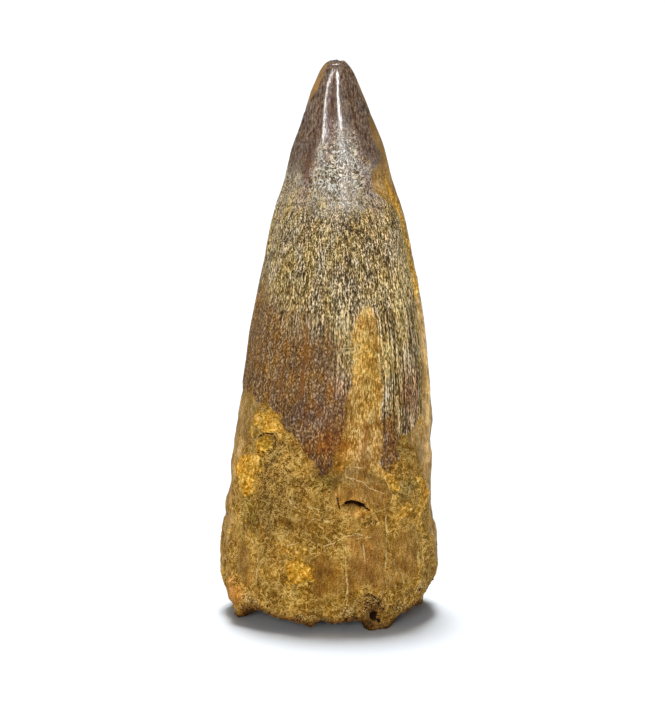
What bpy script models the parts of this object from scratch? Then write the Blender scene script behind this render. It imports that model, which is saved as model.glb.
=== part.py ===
"""A fossil crocodile tooth with its root, standing on the broken end of the root.

The tooth is one solid. Rings of points are stacked from the broken edge of the root to the tip,
and each point is moved in or out by the marks that the real surface has: the lower edge of the
enamel, its ridges, the two cutting edges, flakes, pits, cracks and lumps of hardened sand.

Frame: +Z runs up to the tip, -Y is the bulging face of the crown, and +X is to the right of that
face. The origin is on the ground, under the middle of the tooth's box. Angles are in degrees
around the tooth, from that face (0) to the right (90) and the back (180).
Lengths are in millimetres until the mesh is made, in metres.
"""
import bmesh
import bpy
import numpy as np
from mathutils import Vector, noise

MM = 0.001

# The whole tooth
LENGTH = 59.8
HALF_WIDTH = 11.55
DEPTH_SHARE = 0.86
LEAN_BACK = 6.5
LEAN_POWER = 2.2
SHIFT_RIGHT = 0.95
SHIFT_BETWEEN = (0.15, 0.55)
PROFILE = [  # share of the length, share of the half width
    (0.0, 0.97), (0.08, 0.978), (0.18, 0.965), (0.29, 0.928), (0.40, 0.864), (0.51, 0.790),
    (0.62, 0.675), (0.73, 0.556), (0.784, 0.462), (0.84, 0.390), (0.89, 0.289), (0.934, 0.217),
    (0.977, 0.136), (1.0, 0.0),
]
ROOT_SQUARENESS = 2.15
CROWN_SQUARENESS = 1.95
UNROLL = 10.5  # mm of surface per radian, for measuring across it

# The mesh
COLUMNS = 104
ROW_BANDS = [(0.0, 12.0, 11), (12.0, 15.0, 5), (15.0, 26.0, 11), (26.0, 50.0, 10)]
TIP_ROWS = 7
BASE_SHARES = [0.94, 0.84, 0.71, 0.55, 0.38, 0.19]
SHARP_ANGLE = 30.0

# The enamel and its lower edge: angle, height
ENAMEL_EDGE = [
    (-180, 21.5), (-160, 23.0), (-142, 21.6), (-120, 25.0), (-104, 25.4), (-90, 24.9), (-58, 24.6),
    (-46, 23.8), (-33, 22.8), (-27, 21.6), (-22, 20.3), (-16, 18.5), (-8, 17.6), (-3, 18.8),
    (1, 20.9), (5, 23.9), (6, 29.9), (10, 33.8), (16, 35.2), (25, 34.9), (28, 32.9), (28.6, 18.4),
    (31, 17.7), (36, 18.9), (41, 20.0), (53, 21.3), (62, 21.8), (69, 24.2), (72, 29.8),
    (80, 32.2), (96, 32.4), (112, 30.0), (124, 25.5), (140, 23.6), (158, 24.4), (180, 21.5),
]
ENAMEL_STEP = 0.26
RIDGE_SHARE = 0.16
RIDGE_FADE = (49.0, 54.0)
FLUTES = 11
FLUTE_DEPTH = 0.10

# The two cutting edges of the crown
CARINA_ANGLES = (-87.0, 87.0)
CARINA_HEIGHT = 0.32
CARINA_WIDTH = 0.8

# The root
SWELL_HEIGHT = 0.42
SWELL_SIZE = 6.5
LUMP_HEIGHT = 0.30
LUMP_SIZE = 2.6
FLARE = 0.32
FLARE_TOP = 9.8
TUCK_TOP = 5.0
TUCK = [(-180, 1.0), (-90, 1.3), (-35, 0.7), (30, 0.8), (90, 2.0), (180, 1.0)]

# The broken lower edge: angle, height
RIM = [
    (-180, 0.9), (-165, 0.3), (-150, 0.2), (-135, 1.0), (-118, 1.7), (-100, 1.3), (-85, 0.8),
    (-73, 0.1), (-67, 0.1), (-56, 1.5), (-42, 1.9), (-28, 1.3), (-18, 1.2), (-10, 0.55),
    (-5, 1.2), (2, 0.75), (13, 1.3), (21, 0.7), (25, 0.0), (36, 0.0), (40, 0.6), (45, 1.1),
    (53, 1.4), (58, 1.8), (71, 1.5), (78, 2.5), (90, 3.4), (104, 2.2), (120, 1.4), (136, 0.4),
    (150, 0.3), (164, 1.3), (180, 0.9),
]
RIM_FADE = 12.0
UNDERSIDE_LEVEL = 1.25
UNDERSIDE_ROUGHNESS = 0.9
HOLLOW_DEPTH = 1.3
HOLLOW_RADIUS = 4.5
FEET = [  # x, y, radius of the worn flats that the tooth stands on
    (-8.2, 1.4, 1.4), (5.2, -7.2, 1.0), (4.6, 5.8, 2.6), (-5.2, 6.2, 2.4),
]
FOOT_DEPTH = 3.0
FOOT_BORDER = 0.8

# Raised pieces: outline of (angle, height) points, then how far they stand out
PLATE = [
    (0, 16.9), (6, 17.7), (18, 17.6), (28, 16.4), (34.5, 15.0), (29, 13.7), (19, 13.5),
    (10, 14.4), (3, 14.1), (0, 15.0),
]
CRUST_RIGHT = [
    (36, 19.4), (50, 19.6), (67, 18.6), (69, 13.1), (60, 11.2), (38, 12.4), (31, 14.7),
]
SAND_HIGH = [(-53, 23.2), (-44, 24.3), (-34, 23.6), (-33, 21.9), (-44, 22.0)]
SAND_LEFT = [(-75, 18.4), (-53, 20.2), (-48, 18.2), (-49, 14.9), (-58, 14.4), (-69, 16.4)]
SAND_LOW = [(-22, 7.2), (-10, 7.3), (-9.6, 5.5), (-21, 5.6)]
LUMP_CORNER = [(-72, 4.8), (-60, 4.7), (-53, 3.6), (-62, 1.4), (-72, 1.9)]
CRUST_BACK = [(150, 18.5), (172, 19.6), (196, 17.0), (190, 12.0), (165, 10.5), (148, 13.5)]
FLAKE_BACK = [(-138, 16.5), (-112, 17.5), (-104, 13.0), (-120, 10.5), (-140, 12.2)]
RAISED = [
    (PLATE, 0.40), (CRUST_RIGHT, 0.30), (SAND_HIGH, 0.22), (SAND_LEFT, 0.28), (SAND_LOW, 0.25),
    (LUMP_CORNER, 0.40), (CRUST_BACK, 0.30), (FLAKE_BACK, 0.30),
]
RAISED_SOFTNESS = 0.45

# Sunken places: angle, height, half width across, half height, depth
PITS = [
    (15, 12.8, 2.7, 0.7, 0.35), (-45, 20.4, 0.8, 0.8, 0.45), (26, 2.0, 1.0, 0.9, 0.9),
    (31, 3.6, 0.7, 0.7, 0.5), (18, 3.3, 0.8, 0.7, 0.4), (58, 52.4, 0.7, 1.7, 0.35),
    (52, 48.2, 0.9, 1.2, 0.30), (-60, 7.2, 0.9, 1.6, 0.30), (128, 8.0, 1.2, 1.5, 0.45),
    (-165, 6.5, 1.0, 1.2, 0.40), (100, 14.0, 0.9, 1.4, 0.35),
]

# Cracks and slits: points, half width, depth
CRACKS = [
    ([(3, 14.1), (10, 14.4), (14.5, 14.1), (20, 13.4)], 0.34, 0.75),
    ([(0, 15.3), (2.6, 13.7)], 0.32, 0.45),
    ([(6.6, 11.0), (6.9, 8.4), (7.4, 3.0)], 0.34, 0.20),
    ([(31, 12.2), (32, 10.4), (30, 7.7), (30.3, 4.5)], 0.34, 0.20),
    ([(55.3, 10.6), (55.6, 6.5)], 0.34, 0.20),
    ([(-98, 19.0), (-101, 12.0), (-97, 5.0)], 0.34, 0.22),
    ([(170, 25.0), (174, 34.0), (171, 44.0)], 0.34, 0.22),
    ([(142, 10.0), (139, 5.0), (141, 2.0)], 0.34, 0.22),
]


def smoothstep(low, high, value):
    """Rise from 0 at low to 1 at high, without a corner."""
    t = np.clip((value - low) / (high - low), 0.0, 1.0)
    return t * t * (3.0 - 2.0 * t)


def smooth_curve(points, value):
    """Read a smooth curve that passes through the points."""
    xs, ys = np.array(points, dtype=float).T
    slopes = np.gradient(ys, xs)
    i = np.clip(np.searchsorted(xs, value) - 1, 0, len(xs) - 2)
    step = xs[i + 1] - xs[i]
    t = np.clip((value - xs[i]) / step, 0.0, 1.0)
    between = ys[i] * (1.0 + 2.0 * t) * (1.0 - t) ** 2 + ys[i + 1] * t * t * (3.0 - 2.0 * t)
    return between + step * t * (1.0 - t) * (slopes[i] * (1.0 - t) - slopes[i + 1] * t)


def broken_line(points, value):
    """Read a line with straight stretches between the points."""
    xs, ys = np.array(points, dtype=float).T
    return np.interp(value, xs, ys)


def angle_gap(angle, other):
    """How far one angle is from another, between -180 and 180."""
    return (angle - other + 180.0) % 360.0 - 180.0


def unrolled(angle, height, about):
    """Lay the surface flat around an angle: mm across, mm up."""
    return np.radians(angle_gap(angle, about)) * UNROLL, height


def half_width(height):
    """Half the tooth's width at a height."""
    squares = [(share, width * width) for share, width in PROFILE]
    return HALF_WIDTH * np.sqrt(np.maximum(smooth_curve(squares, height / LENGTH), 0.0))


def centre(height):
    """Where the middle of the tooth is at a height: it bends back and a little to the right."""
    share = height / LENGTH
    return SHIFT_RIGHT * smoothstep(*SHIFT_BETWEEN, share), LEAN_BACK * share ** LEAN_POWER


def directions(angle, height):
    """Across and front-to-back parts of an angle on the rounded-off outline at a height."""
    squareness = ROOT_SQUARENESS + (CROWN_SQUARENESS - ROOT_SQUARENESS) * height / LENGTH
    turn = np.radians(angle)
    across = np.sign(np.sin(turn)) * np.abs(np.sin(turn)) ** (2.0 / squareness)
    front = np.sign(np.cos(turn)) * np.abs(np.cos(turn)) ** (2.0 / squareness)
    return across, front


def bumps(x, y, z, size):
    """Smooth random swellings of about the given size, between -1 and 1."""
    points = np.stack(np.broadcast_arrays(x, y, z), axis=-1).reshape(-1, 3) / size
    values = [noise.noise(Vector(point)) for point in points]
    return np.array(values).reshape(np.shape(x))


def inside(angle, height, outline):
    """1 inside an outline on the surface, 0 outside, with a soft border."""
    about = outline[0][0]
    px, py = unrolled(angle, height, about)
    corners = [unrolled(a, h, about) for a, h in outline]
    odd = np.zeros(np.shape(px), dtype=bool)
    nearest = np.full(np.shape(px), np.inf)
    for (ax, ay), (bx, by) in zip(corners, corners[1:] + corners[:1]):
        nearest = np.minimum(nearest, segment_distance(px, py, ax, ay, bx, by))
        if ay != by:
            crosses = ((ay > py) != (by > py)) & (px < ax + (py - ay) / (by - ay) * (bx - ax))
            odd ^= crosses
    signed = np.where(odd, nearest, -nearest)
    return smoothstep(-RAISED_SOFTNESS, RAISED_SOFTNESS, signed)


def segment_distance(px, py, ax, ay, bx, by):
    """Distance from points to a straight stretch."""
    length_squared = (bx - ax) ** 2 + (by - ay) ** 2
    t = np.clip(((px - ax) * (bx - ax) + (py - ay) * (by - ay)) / length_squared, 0.0, 1.0)
    return np.hypot(px - ax - t * (bx - ax), py - ay - t * (by - ay))


def crack(angle, height, points, width):
    """1 along the middle of a crack, falling to 0 beside it."""
    about = points[0][0]
    px, py = unrolled(angle, height, about)
    corners = [unrolled(a, h, about) for a, h in points]
    nearest = np.full(np.shape(px), np.inf)
    for (ax, ay), (bx, by) in zip(corners, corners[1:]):
        nearest = np.minimum(nearest, segment_distance(px, py, ax, ay, bx, by))
    return np.exp(-((nearest / width) ** 2))


def enamel(angle, height):
    """1 on the enamel, 0 on the root."""
    return smoothstep(-0.4, 0.4, height - broken_line(ENAMEL_EDGE, angle))


def crown_relief(angle, height, x, y):
    """How far the enamel and the cutting edges stand out."""
    covered = enamel(angle, height)
    spacing = 2.0 * np.pi * half_width(height) / COLUMNS
    strength = (1.0 - smoothstep(*RIDGE_FADE, height)) * (1.0 + bumps(x, y, height * 0.3, 2.0))
    ridges = RIDGE_SHARE * spacing * strength * np.cos(np.radians(angle) * COLUMNS / 2)
    flutes = FLUTE_DEPTH * np.cos(np.radians(angle) * FLUTES) * smoothstep(40.0, 48.0, height)
    relief = covered * (ENAMEL_STEP + ridges + flutes * smoothstep(LENGTH, 56.0, height))
    for carina in CARINA_ANGLES:
        across = np.radians(angle_gap(angle, carina)) * half_width(height)
        edge = np.exp(-((across / CARINA_WIDTH) ** 2)) * smoothstep(22.0, 32.0, height)
        relief = relief + CARINA_HEIGHT * edge * smoothstep(LENGTH, 54.0, height)
    return relief


def root_relief(angle, height, x, y):
    """Swellings of the root, its flare above the floor and its worn, tucked-in lower edge."""
    root = 1.0 - 0.8 * smoothstep(18.0, 34.0, height)
    relief = root * SWELL_HEIGHT * bumps(x, y, height * 0.7, SWELL_SIZE)
    relief = relief + root * root * LUMP_HEIGHT * bumps(x + 40.0, y, height, LUMP_SIZE)
    sideways = smoothstep(0.6, 0.95, np.abs(np.sin(np.radians(angle))))
    relief = relief + FLARE * sideways * smoothstep(FLARE_TOP + 0.6, FLARE_TOP - 0.6, height)
    low = np.clip(1.0 - height / TUCK_TOP, 0.0, 1.0)
    return relief - broken_line(TUCK, angle) * low ** 1.5


def marks_relief(angle, height):
    """Raised flakes and crusts, pits, and cracks."""
    relief = np.zeros(np.shape(angle))
    for outline, rise in RAISED:
        relief = relief + rise * inside(angle, height, outline)
    for at, level, across, up, depth in PITS:
        px, py = unrolled(angle, height - level, at)
        relief = relief - depth * np.exp(-((px / across) ** 2) - (py / up) ** 2)
    for points, width, depth in CRACKS:
        relief = relief - depth * crack(angle, height, points, width)
    return relief


def surface_point(angle, height):
    """The tooth's side at an angle and a height."""
    across, front = directions(angle, height)
    middle_x, middle_y = centre(height)
    radius = half_width(height)
    x = middle_x + radius * across
    y = middle_y - radius * DEPTH_SHARE * front
    relief = crown_relief(angle, height, x, y) + root_relief(angle, height, x, y)
    relief = relief + marks_relief(angle, height)
    relief = relief * smoothstep(0.0, 2.5, radius)
    return x + relief * across, y - relief * front, height


def side_ring(angle, row_height):
    """One ring of the side. Near the bottom it follows the broken edge."""
    rise = broken_line(RIM, angle) * np.clip(1.0 - row_height / RIM_FADE, 0.0, 1.0) ** 3
    height = row_height + rise
    x, y, z = surface_point(angle, height)
    return np.stack(np.broadcast_arrays(x, y, z), axis=1)


def base_ring(rim, share):
    """One ring of the broken underside: rough, hollow in the middle, worn flat at the feet."""
    x, y = rim[:, 0] * share, rim[:, 1] * share
    rough = UNDERSIDE_ROUGHNESS * bumps(x, y, 70.0, 4.0)
    hollow = HOLLOW_DEPTH * np.exp(-(x * x + y * y) / HOLLOW_RADIUS ** 2)
    inner = UNDERSIDE_LEVEL + rough + hollow
    return np.stack([x, y, inner + (rim[:, 2] - inner) * smoothstep(0.55, 1.0, share)], axis=1)


def wear_feet(ring):
    """Take the ring down to the floor, and no lower, where the tooth rests."""
    z = ring[:, 2].copy()
    for x, y, radius in FEET:
        gap = np.hypot(ring[:, 0] - x, ring[:, 1] - y)
        z -= FOOT_DEPTH * smoothstep(radius + FOOT_BORDER, radius, gap)
    ring[:, 2] = np.maximum(z, 0.0)
    return ring


def row_heights():
    """Heights of the full rings, closer together where the surface has more on it."""
    heights = [0.0]
    for low, high, steps in ROW_BANDS:
        heights += [low + (high - low) * (i + 1) / steps for i in range(steps)]
    return heights


def join_rings(bm, lower, upper):
    """Faces between two rings of as many points."""
    count = len(lower)
    for i in range(count):
        after = (i + 1) % count
        bm.faces.new((lower[i], lower[after], upper[after], upper[i]))


def join_to_half(bm, full, half, upward):
    """Faces from a ring to one with half as many points."""
    count = len(half)
    for i in range(count):
        first, second, third = full[2 * i], full[2 * i + 1], full[(2 * i + 2) % len(full)]
        near, far = half[i], half[(i + 1) % count]
        for corners in ((first, second, near), (second, far, near), (second, third, far)):
            bm.faces.new(corners if upward else corners[::-1])


def close_ring(bm, ring, apex, upward):
    """Faces from a ring to one point."""
    for i, corner in enumerate(ring):
        corners = (corner, ring[(i + 1) % len(ring)], apex)
        bm.faces.new(corners if upward else corners[::-1])


def add_ring(bm, points):
    """Vertices of a ring, in metres."""
    return [bm.verts.new(Vector(point) * MM) for point in points]


def build_side(bm, angles):
    """The side from the broken edge to the tip, and the first ring of vertices and points."""
    rings = [side_ring(angles, height) for height in row_heights()]
    rows = [add_ring(bm, ring) for ring in rings]
    for lower, upper in zip(rows, rows[1:]):
        join_rings(bm, lower, upper)
    start = ROW_BANDS[-1][1]
    previous = rows[-1]
    for i in range(1, TIP_ROWS):
        height = LENGTH - (LENGTH - start) * (1.0 - i / TIP_ROWS) ** 2
        row = add_ring(bm, side_ring(angles[::2], height))
        if i == 1:
            join_to_half(bm, previous, row, upward=True)
        else:
            join_rings(bm, previous, row)
        previous = row
    tip_x, tip_y = centre(LENGTH)
    close_ring(bm, previous, bm.verts.new(Vector((tip_x, tip_y, LENGTH)) * MM), upward=True)
    return rows[0], rings[0]


def build_base(bm, rim_row, rim_points):
    """The broken underside, from the edge of the root to its middle."""
    previous = rim_row
    for i, share in enumerate(BASE_SHARES):
        row = add_ring(bm, wear_feet(base_ring(rim_points[::2], share)))
        if i == 0:
            join_to_half(bm, previous, row, upward=False)
        else:
            join_rings(bm, row, previous)
        previous = row
    middle = base_ring(rim_points[:1], 0.0)[0]
    close_ring(bm, previous, bm.verts.new(Vector(middle) * MM), upward=False)


def centre_over_origin(bm):
    """Slide the tooth until the middle of its box is over the origin."""
    xs = [vert.co.x for vert in bm.verts]
    ys = [vert.co.y for vert in bm.verts]
    middle = Vector(((min(xs) + max(xs)) / 2, (min(ys) + max(ys)) / 2, 0.0))
    bmesh.ops.translate(bm, verts=bm.verts, vec=-middle)


def tooth_material():
    """Stained fossil enamel and dentine, between brown and ochre."""
    material = bpy.data.materials.new("fossil_ochre")
    material.use_nodes = True
    shader = material.node_tree.nodes["Principled BSDF"]
    shader.inputs["Base Color"].default_value = (0.30, 0.19, 0.075, 1.0)
    shader.inputs["Roughness"].default_value = 0.55
    shader.inputs["Metallic"].default_value = 0.0
    return material


def build_tooth():
    """The whole tooth as one closed mesh."""
    bm = bmesh.new()
    angles = -180.0 + 360.0 * np.arange(COLUMNS) / COLUMNS
    rim_row, rim_points = build_side(bm, angles)
    build_base(bm, rim_row, rim_points)
    centre_over_origin(bm)
    bm.normal_update()
    mesh = bpy.data.meshes.new("tooth")
    bm.to_mesh(mesh)
    bm.free()
    mesh.shade_smooth()
    mesh.set_sharp_from_angle(angle=np.radians(SHARP_ANGLE))
    mesh.materials.append(tooth_material())
    tooth = bpy.data.objects.new("tooth", mesh)
    bpy.context.scene.collection.objects.link(tooth)
    return tooth


def main():
    for item in list(bpy.data.objects):
        bpy.data.objects.remove(item, do_unlink=True)
    build_tooth()


main()
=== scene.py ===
"""The finished look of the fossil crocodile tooth, on a white floor in soft studio light.

One skin stands in place of the plain solid. It repeats the solid's form from the same values, and
adds what is too fine for it: the ragged edge of the enamel, thin cracks, crumbled pits, chips on
the broken rim and the grain of the crust. Its material paints the enamel's wrinkles, the sand in
them, and the stained root, from masks that are worked out at every point of the skin. It also
has painted shade in the holes, cracks, crumbs and crust borders and along the broken rim, and
painted highlights on the wrinkled enamel below the tip and on the ledge under the slit.

Frame: as the solid's. Angles are in degrees around the tooth, from the bulging face (0) to the
right (90) and the back (180). Lengths are in millimetres until the meshes are made, in metres.
"""

import bmesh
import bpy
import numpy as np
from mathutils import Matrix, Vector, noise


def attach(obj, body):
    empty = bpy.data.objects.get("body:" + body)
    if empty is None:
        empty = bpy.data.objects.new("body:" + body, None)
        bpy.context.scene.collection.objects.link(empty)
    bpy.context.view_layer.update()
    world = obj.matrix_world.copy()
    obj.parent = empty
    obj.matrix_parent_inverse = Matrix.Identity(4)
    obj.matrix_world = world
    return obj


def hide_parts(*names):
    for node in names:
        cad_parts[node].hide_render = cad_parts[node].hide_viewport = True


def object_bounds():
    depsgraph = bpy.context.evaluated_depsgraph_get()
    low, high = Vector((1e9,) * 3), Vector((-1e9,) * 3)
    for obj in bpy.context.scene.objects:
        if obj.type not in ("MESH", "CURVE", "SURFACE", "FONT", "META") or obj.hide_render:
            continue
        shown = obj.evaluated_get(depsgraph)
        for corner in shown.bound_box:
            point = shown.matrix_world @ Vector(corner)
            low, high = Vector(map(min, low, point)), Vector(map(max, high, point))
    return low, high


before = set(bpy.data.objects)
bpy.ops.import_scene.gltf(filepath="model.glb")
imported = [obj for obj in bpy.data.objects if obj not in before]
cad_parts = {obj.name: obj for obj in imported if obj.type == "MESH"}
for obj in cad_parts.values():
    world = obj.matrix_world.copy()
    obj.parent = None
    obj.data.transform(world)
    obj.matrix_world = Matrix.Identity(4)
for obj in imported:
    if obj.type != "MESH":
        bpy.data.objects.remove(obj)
cad_low, cad_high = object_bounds()

MM = 0.001
SCREEN_GAMMA = 2.2

# The whole tooth
LENGTH = (cad_high.z - cad_low.z) / MM
HALF_WIDTH = 0.4921 * (cad_high.x - cad_low.x) / MM
DEPTH_SHARE = 0.86
LEAN_BACK = 6.5
LEAN_POWER = 2.2
SHIFT_RIGHT = 0.95
SHIFT_BETWEEN = (0.15, 0.55)
TIP_LEFT = 0.27
TIP_BEND = (0.86, 0.95)
PROFILE = [  # share of the length, share of the half width
    (0, 0.97), (0.08, 0.978), (0.18, 0.965), (0.29, 0.928), (0.4, 0.864), (0.51, 0.79),
    (0.62, 0.675), (0.73, 0.556), (0.784, 0.462), (0.84, 0.39), (0.89, 0.289), (0.934, 0.217),
    (0.977, 0.136), (1, 0),
]
ROOT_SQUARENESS = 2.15
CROWN_SQUARENESS = 1.95
UNROLL = 10.5  # mm of surface per radian, for measuring across it

# The skin's mesh: columns lie closer together at the front, rows closer together on the root
COLUMNS = 400
FRONT_CROWDING = 0.3
ROW_BANDS = [(0, 8, 54), (8, 26, 88), (26, 46, 60)]
TIP_ROWS = 44
TIP_CROWDING = 1.6
BASE_RINGS = 14

# The enamel and its lower edge: angle, height
ENAMEL_EDGE = [
    (-180, 21.5), (-160, 23), (-142, 21.6), (-120, 25), (-104, 25.4), (-90, 25.2),
    (-73.5, 24.7), (-49, 24.3), (-43.5, 24.4), (-33.5, 23.4), (-29, 22.1), (-21, 21),
    (-14, 19.5), (-8, 17.9), (-5, 17.2), (-1, 18.4), (1, 19.6), (2.5, 21.1), (5, 23.2),
    (7, 24.6), (7.8, 27.5), (8, 30.5), (8.8, 33), (11, 34.2), (16.5, 34.9), (24, 34.9),
    (27, 33.4), (27.8, 31), (28.2, 18.2), (32, 17.6), (38, 18.9), (40, 20.8), (50, 21.4),
    (60.5, 22.2), (65, 24), (69, 29.8), (80, 32.2), (96, 32.4), (112, 30), (124, 25.5),
    (140, 23.6), (158, 24.4), (180, 21.5),
]
ENAMEL_STEP = 0.26
STEP_KEPT = 0.6  # share of the step that the worn strips of the crown keep
STEP_KEPT_FROM = (30, 38)
FLUTES = 11
FLUTE_DEPTH = 0.02
FLUTES_FROM = (40, 48)
FLUTES_FADE = 56.0

# Strips where the enamel is worn away along the two cutting edges: height, angle
WORN_RIGHT = [
    (30, 67.5), (34.9, 72), (38.7, 77), (41, 74), (43.3, 76), (44.6, 68), (45.4, 57),
    (46.6, 40), (48.4, 43), (49.4, 68), (50, 74), (51.5, 60), (52.8, 64), (53.6, 76),
    (54.6, 82), (55.4, 76), (57, 72), (58.6, 74), (59.8, 90),
]
WORN_RIGHT_END = 101.0
WORN_LEFT = [
    (24, -104), (51, -104), (53.4, -98), (54.4, -84), (55.5, -73), (56.6, -60), (58, -52),
    (59, -60), (59.8, -100),
]
WORN_LEFT_END = -103.0

# Where the enamel's lower edge is rubbed so thin that grains of it mix with the sand:
# angle, height, half width across, half height, how much
RUBBED = [(9, 31, 0.9, 4, 1), (28, 31, 0.9, 4, 1), (18, 34.5, 2.6, 1.5, 1)]

# The two cutting edges of the crown
CARINA_ANGLES = (-87, 87)
CARINA_HEIGHT = 0.32
CARINA_WIDTH = 0.8
CARINA_FROM = (22, 32)
CARINA_FADE = 54.0

# The root
SWELL_HEIGHT = 0.42
SWELL_SIZE = 6.5
LUMP_HEIGHT = 0.30
LUMP_SIZE = 2.6
FLARE = 0.32
FLARE_TOP = (10.4, 9.2)
TUCK_TOP = 5.0
TUCK = [(-180, 1), (-90, 1.3), (-35, 0.7), (30, 0.8), (90, 2), (180, 1)]

# The broken lower edge: angle, height
RIM = [
    (-180, 0.9), (-165, 0.3), (-150, 0.2), (-135, 1), (-118, 1.7), (-100, 1.3), (-85, 0.8),
    (-73, 0.1), (-67, 0.1), (-56, 1.5), (-42, 1.9), (-28, 1.3), (-18, 1.2), (-10, 0.55),
    (-5, 1.2), (2, 0.75), (13, 1.3), (21, 0.7), (25, 0), (36, 0), (40, 0.6), (45, 1.1),
    (53, 1.4), (58, 1.8), (71, 1.5), (78, 2.5), (90, 3.4), (104, 2.2), (120, 1.4), (136, 0.4),
    (150, 0.3), (164, 1.3), (180, 0.9),
]
RIM_FADE = 12.0
RIM_CHIPS = 0.45
RIM_CHIPS_TOP = 1.5
TIP_CHIP = 0.45
UNDERSIDE_LEVEL = 1.25
UNDERSIDE_ROUGHNESS = 0.9
HOLLOW_DEPTH = 1.3
HOLLOW_RADIUS = 4.5
FEET = [  # x, y, radius of the worn flats that the tooth stands on
    (-8.2, 1.4, 1.4), (5.2, -7.2, 1), (4.6, 5.8, 2.6), (-5.2, 6.2, 2.4),
]
FOOT_DEPTH = 3.0
FOOT_BORDER = 0.8

# Raised pieces: outline of (angle, height) points
PLATE = [
    (0, 16.9), (6, 17.7), (18, 17.6), (28, 16.4), (34.5, 15), (29, 13.7), (19, 13.5),
    (10, 14.4), (3, 14.1), (0, 15),
]
CRUST_RIGHT = [
    (36, 19.4), (50, 19.6), (67, 18.6), (69, 13.1), (60, 11.2), (38, 12.4), (31, 14.7),
]
SAND_HIGH = [
    (-57, 22.6), (-51, 23.5), (-43.5, 24.1), (-35, 23.8), (-30, 22.8), (-30, 21.8), (-38, 21.8),
    (-47, 21.6), (-56, 21.4),
]
SAND_LEFT = [
    (-69, 17.3), (-58, 18.7), (-52, 19.2), (-49, 20.5), (-40, 20.8), (-39, 19.9), (-43, 19),
    (-41, 17.8), (-47, 16.8), (-51, 15), (-58, 14.3), (-67, 15.4),
]
SAND_LOW = [(-24, 8), (-10, 8.2), (-8.4, 6.2), (-12, 5.2), (-22, 5.6)]
LUMP_CORNER = [(-68, 4.9), (-61, 4.7), (-56, 3.6), (-60, 2), (-68, 2.4)]
CRUST_BACK = [(150, 17), (162, 19.6), (180, 18), (198, 15), (184, 11), (168, 12.5),
              (156, 10.5), (146, 13.5)]
FLAKE_BACK = [(-138, 16.5), (-112, 17.5), (-104, 13), (-120, 10.5), (-140, 12.2)]
RAISED = [  # outline, how far it stands out, softness of its border
    (PLATE, 0.4, 0.12), (CRUST_RIGHT, 0.3, 0.35), (SAND_HIGH, 0.22, 0.35),
    (SAND_LEFT, 0.28, 0.35), (SAND_LOW, 0.25, 0.35), (LUMP_CORNER, 0.4, 0.2),
    (CRUST_BACK, 0.3, 0.35), (FLAKE_BACK, 0.3, 0.15),
]

# Sunken places: angle, height, half width across, half height, depth
PITS = [
    (15, 13, 2.4, 0.5, 0.2), (-43, 20.3, 0.7, 0.6, 0.3), (28, 1.6, 0.9, 0.8, 0.7),
    (31, 3.6, 0.6, 0.6, 0.4), (18, 3.3, 0.6, 0.6, 0.4), (76, 51.8, 1.3, 1.5, 0.38),
    (52, 47.4, 0.9, 1.4, 0.25), (-60, 7.2, 0.9, 1.6, 0.25), (128, 8, 1.2, 1.5, 0.45),
    (-165, 6.5, 1, 1.2, 0.4), (100, 14, 0.9, 1.4, 0.35),
]
DARK_HOLES = [  # angle, height, radius: crumbled places with no light in them
    (26, 1.5, 0.68), (29.5, 0.9, 0.28), (27.5, 3, 0.2), (24.5, 3.7, 0.14), (31, 2.3, 0.16),
    (20.5, 3.2, 0.14), (31, 4.2, 0.12), (8.5, 1.4, 0.18), (14, 1.5, 0.16), (-49, 2.6, 0.2),
    (-36, 2.6, 0.18), (-24, 2, 0.16), (62, 3.6, 0.18), (-120, 3, 0.3),
]

# Cracks and slits: points, half width, depth, how much painted shade they get
SLIT = [(8, 14.35), (10.5, 14.45), (13.5, 14.35), (17, 14.05)]
CRACKS = [
    (SLIT, 0.26, 1, 1),
    ([(16.5, 14.1), (21.5, 13.4)], 0.12, 0.6, 1),
    ([(5.6, 14.1), (7.6, 14.4)], 0.09, 0.4, 0.8),
    ([(2.8, 15), (3.4, 14.4), (4.3, 13.8)], 0.11, 0.5, 0.9),
    ([(24, 13.7), (26.5, 14.4), (29, 15)], 0.09, 0.35, 0.6),
    ([(36, 15.4), (40, 14.9), (44, 14.5), (47, 14.3)], 0.1, 0.35, 0.7),
    ([(-4, 16.8), (-1, 17), (2.5, 17)], 0.12, 0.25, 0.5),
    ([(-50, 20.8), (-44, 21.3), (-39, 21.3)], 0.1, 0.3, 0.9),
    ([(-39, 21.3), (-36.4, 20.9), (-36.4, 20.1), (-40, 19.5), (-50, 19)], 0.1, 0.25, 0.8),
    ([(-44, 23.9), (-36, 23.4), (-31.5, 22)], 0.14, 0.2, 0.5),
    ([(31, 12.4), (31.8, 10.4), (30.8, 7.7), (30.6, 4.5)], 0.1, 0.2, 0.3),
    ([(7.8, 9), (8.2, 3.4)], 0.09, 0.15, 0.2),
    ([(18.5, 3.9), (21, 4.3), (24.5, 3.8), (28.5, 3.4)], 0.1, 0.3, 0.75),
    ([(-66, 6.6), (-63, 5.4), (-57, 4.9)], 0.1, 0.3, 0.6),
    ([(-98, 19), (-101, 12), (-97, 5)], 0.12, 0.25, 0.5),
    ([(170, 25), (174, 34), (171, 44)], 0.1, 0.22, 0.5),
    ([(142, 10), (139, 5), (141, 2)], 0.12, 0.25, 0.5),
]

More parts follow.
